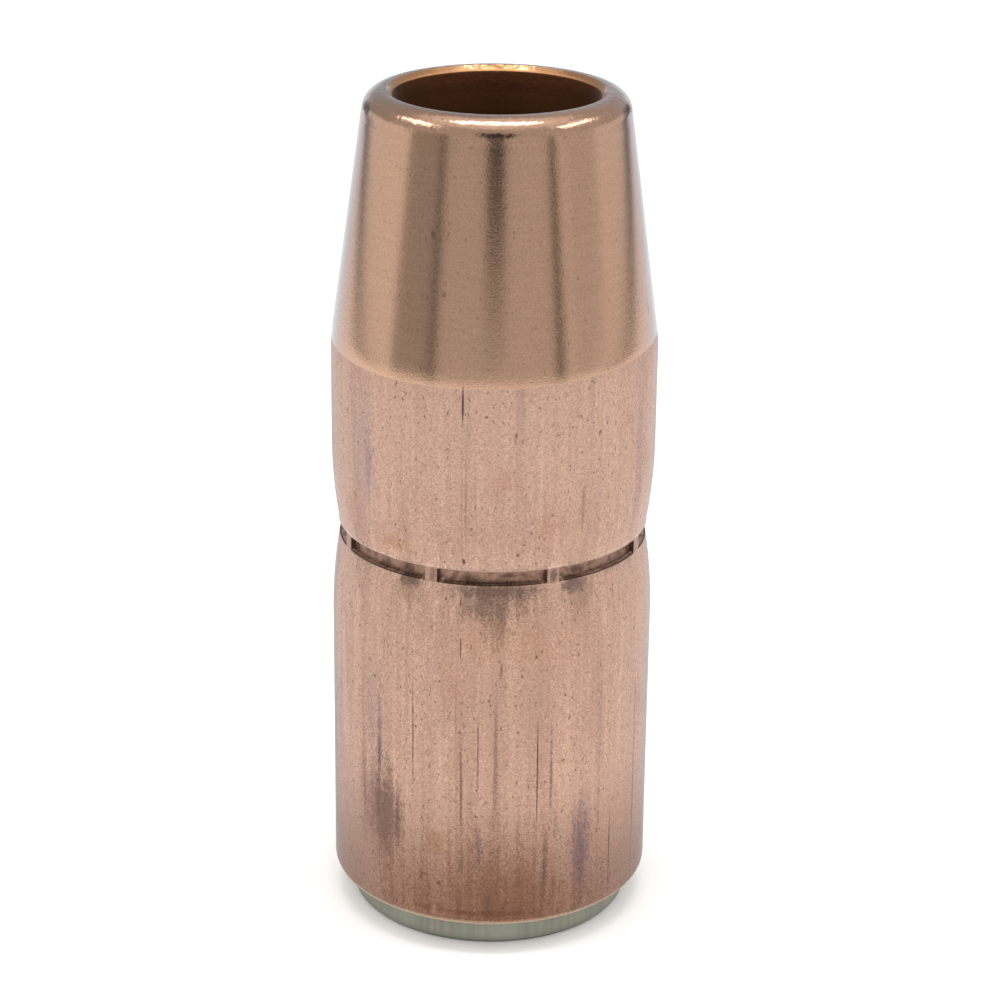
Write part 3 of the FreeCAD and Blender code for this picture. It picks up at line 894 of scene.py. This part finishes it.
# Fibres about 0.2 mm wide along the sleeve, and a darker band at its foot.
place = add(tree, "ShaderNodeTexCoord").outputs["Object"]
noises = {}
for label, stretch, scale in (
    ("fibres", (1000.0, 1000.0, 60.0), 2.4),
    ("clouds", (1000.0, 1000.0, 1000.0), 0.35),
):
    spread = add(tree, "ShaderNodeMapping", {"Vector": place, "Scale": stretch})
    noises[label] = add(
        tree, "ShaderNodeTexNoise", {"Vector": spread.outputs[0], "Scale": scale, "Detail": 3.0}
    ).outputs[0]
axes = add(tree, "ShaderNodeSeparateXYZ", {0: place})
colour = linear("#77786C")
for value, low, high, code, share in (
    (noises["fibres"], 0.40, 0.62, "#8D897A", 0.6),
    (noises["clouds"], 0.45, 0.65, "#848A7C", 0.7),
    (axes.outputs["Z"], 0.9 * MM, 0.1 * MM, "#5F5E57", 0.75),
    (axes.outputs["Z"], 1.9 * MM, 2.3 * MM, "#77766B", 0.5),
):
    factor = add(
        tree,
        "ShaderNodeMapRange",
        {"Value": value, "From Min": low, "From Max": high, "To Min": 0.0, "To Max": share},
    )
    colour = add(
        tree, "ShaderNodeMix", {0: factor.outputs[0], 6: colour, 7: linear(code)}, data_type="RGBA"
    ).outputs[2]
bump = add(tree, "ShaderNodeBump", {"Height": noises["fibres"], "Strength": 1.0, "Distance": 0.02 * MM})
surface = add(
    tree,
    "ShaderNodeBsdfPrincipled",
    {"Base Color": colour, "Roughness": 0.55, "Normal": bump.outputs[0]},
)
add(tree, "ShaderNodeOutputMaterial", {"Surface": surface.outputs[0]})
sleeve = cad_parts["insulator_sleeve"]
sleeve.data.materials.clear()
sleeve.data.materials.append(glass_fibre)

# Floor and light.
# The nozzle stands on a plain white floor in a soft studio, with a ring of pale panels around it; the
# dark gaps between the panels show as streaks in the turned cone.
paper = bpy.data.materials.new("paper")
paper.use_nodes = True
tree = paper.node_tree
tree.nodes.clear()
surface = add(tree, "ShaderNodeBsdfDiffuse", {"Color": (0.96, 0.96, 0.96, 1.0)})
add(tree, "ShaderNodeOutputMaterial", {"Surface": surface.outputs[0]})
floor_mesh = bpy.data.meshes.new("floor")
floor_mesh.from_pydata([(-3, -3, 0), (3, -3, 0), (3, 3, 0), (-3, 3, 0)], [], [(0, 1, 2, 3)])
floor_mesh.materials.append(paper)
floor = bpy.data.objects.new("floor", floor_mesh)
bpy.context.scene.collection.objects.link(floor)

world = bpy.data.worlds.new("studio")
bpy.context.scene.world = world
world.use_nodes = True
tree = world.node_tree
tree.nodes.clear()
sky = add(tree, "ShaderNodeBackground", {"Color": (1.0, 1.0, 1.0, 1.0), "Strength": 1.0})
add(tree, "ShaderNodeOutputWorld", {"Surface": sky.outputs[0]})

# Panels: azimuth from and to at the foot, the same at the top (degrees from the camera's side, to the
# right), height from and to (m), light. Those beside the far gaps slant.
PANELS = [
    (-180, -95, -180, -153, 0.00, 0.04, 1.15),
    (-180, -153, -180, -153, 0.04, 0.10, 1.15),
    (-95, -77, -153, -135, 0.00, 0.04, 0.12),
    (-153, -135, -153, -135, 0.04, 0.10, 0.12),
    (-77, -74, -135, -74, 0.00, 0.04, 0.98),
    (-135, -74, -135, -74, 0.04, 0.10, 0.98),
    (-74, -46, -74, -46, 0.00, 0.10, 0.44),
    (-46, -40, -46, -40, 0.00, 0.10, 0.16),
    (-40, -7, -40, -7, 0.00, 0.10, 0.64),
    (-7, 7, -7, 7, 0.00, 0.045, 0.68),
    (-7, 7, -7, 7, 0.045, 0.055, 0.44),
    (-7, 7, -7, 7, 0.055, 0.10, 0.06),
    (7, 42.5, 7, 42.5, 0.00, 0.10, 0.68),
    (42.5, 48, 42.5, 48, 0.00, 0.10, 0.05),
    (48, 58, 48, 58, 0.00, 0.10, 0.78),
    (58, 66, 58, 86, 0.00, 0.04, 0.68),
    (58, 86, 58, 86, 0.04, 0.10, 0.68),
    (66, 69, 86, 135, 0.00, 0.04, 0.90),
    (86, 135, 86, 135, 0.04, 0.10, 0.90),
    (69, 88, 135, 154, 0.00, 0.04, 0.05),
    (135, 154, 135, 154, 0.04, 0.10, 0.05),
    (88, 180, 154, 180, 0.00, 0.04, 1.15),
    (154, 180, 154, 180, 0.04, 0.10, 1.15),
    (-180, -100, -180, -100, 0.10, 0.40, 0.48),
    (-100, -14, -100, -14, 0.10, 0.40, 0.60),
    (-14, 14, -14, 14, 0.10, 0.22, 0.04),
    (-14, 14, -14, 14, 0.22, 0.40, 0.60),
    (14, 100, 14, 100, 0.10, 0.40, 0.62),
    (100, 180, 100, 180, 0.10, 0.40, 0.58),
]
PANEL_DISTANCE = 0.25
for number, (first, last, top_first, top_last, low, high, strength) in enumerate(PANELS):
    cloth = bpy.data.materials.new(f"panel_{number:02d}")
    cloth.use_nodes = True
    tree = cloth.node_tree
    tree.nodes.clear()
    glow = add(tree, "ShaderNodeEmission", {"Color": (1.0, 1.0, 1.0, 1.0), "Strength": strength})
    add(tree, "ShaderNodeOutputMaterial", {"Surface": glow.outputs[0]})
    cloth.cycles.emission_sampling = "NONE"
    corners, faces = [], []
    steps = max(1, round((top_last - top_first) / 6))
    for step in range(steps + 1):
        for start, end, level in ((first, last, low), (top_first, top_last, high)):
            azimuth = math.radians(start + (end - start) * step / steps)
            corners.append(
                (PANEL_DISTANCE * math.sin(azimuth), -PANEL_DISTANCE * math.cos(azimuth), level)
            )
        if step:
            faces.append((2 * step - 2, 2 * step, 2 * step + 1, 2 * step - 1))
    mesh = bpy.data.meshes.new(f"panel_{number:02d}")
    mesh.from_pydata(corners, [], faces)
    mesh.materials.append(cloth)
    panel = bpy.data.objects.new(f"panel_{number:02d}", mesh)
    panel.visible_camera = False
    panel.visible_diffuse = False
    panel.visible_shadow = False
    panel.visible_transmission = False
    bpy.context.scene.collection.objects.link(panel)

for name, position, width, depth, power, shows in (
    ("overhead", (0.0, -0.01, 0.58), 0.34, 0.10, 0.95, True),
    ("left_lamp", (-0.20, -0.02, 0.24), 0.15, 0.05, 0.09, True),
    ("right_lamp", (0.20, -0.02, 0.24), 0.15, 0.05, 0.09, True),
    ("front_fill", (0.0, -0.55, 0.40), 0.50, 0.40, 0.75, False),
):
    softbox = bpy.data.lights.new(name, "AREA")
    softbox.shape = "RECTANGLE"
    softbox.size = width
    softbox.size_y = depth
    softbox.energy = power
    lamp = bpy.data.objects.new(name, softbox)
    aim = Vector(position).to_track_quat("Z", "Y").to_matrix().to_4x4()
    lamp.matrix_world = Matrix.Translation(position) @ aim
    lamp.visible_camera = False
    lamp.visible_glossy = shows
    bpy.context.scene.collection.objects.link(lamp)

# Camera.
# It stands where the photograph was taken, a little above the nozzle and 0.24 m away.
PITCH, YAW, ROLL = math.radians(20.947), math.radians(0.150), math.radians(0.654)
PLACE = (0.0, -0.21493, 0.11598)
FOCAL_PIXELS, PICTURE_PIXELS, SENSOR_WIDTH = 2905, 1000, 36
forward = Vector(
    (math.sin(YAW) * math.cos(PITCH), math.cos(YAW) * math.cos(PITCH), -math.sin(PITCH))
)
right = forward.cross(Vector((0, 0, 1))).normalized()
up = right.cross(forward)
side = right * math.cos(ROLL) + up * math.sin(ROLL)
top = up * math.cos(ROLL) - right * math.sin(ROLL)
lens = bpy.data.cameras.new("camera")
lens.sensor_fit = "HORIZONTAL"
lens.sensor_width = SENSOR_WIDTH
lens.lens = FOCAL_PIXELS * SENSOR_WIDTH / PICTURE_PIXELS
lens.clip_start = 0.01
lens.clip_end = 20.0
camera = bpy.data.objects.new("camera", lens)
camera.matrix_world = Matrix.Translation(PLACE) @ Matrix(
    [(side.x, top.x, -forward.x), (side.y, top.y, -forward.y), (side.z, top.z, -forward.z)]
).to_4x4()
bpy.context.scene.collection.objects.link(camera)
bpy.context.scene.camera = camera

view = bpy.context.scene.view_settings
view.view_transform = "Standard"
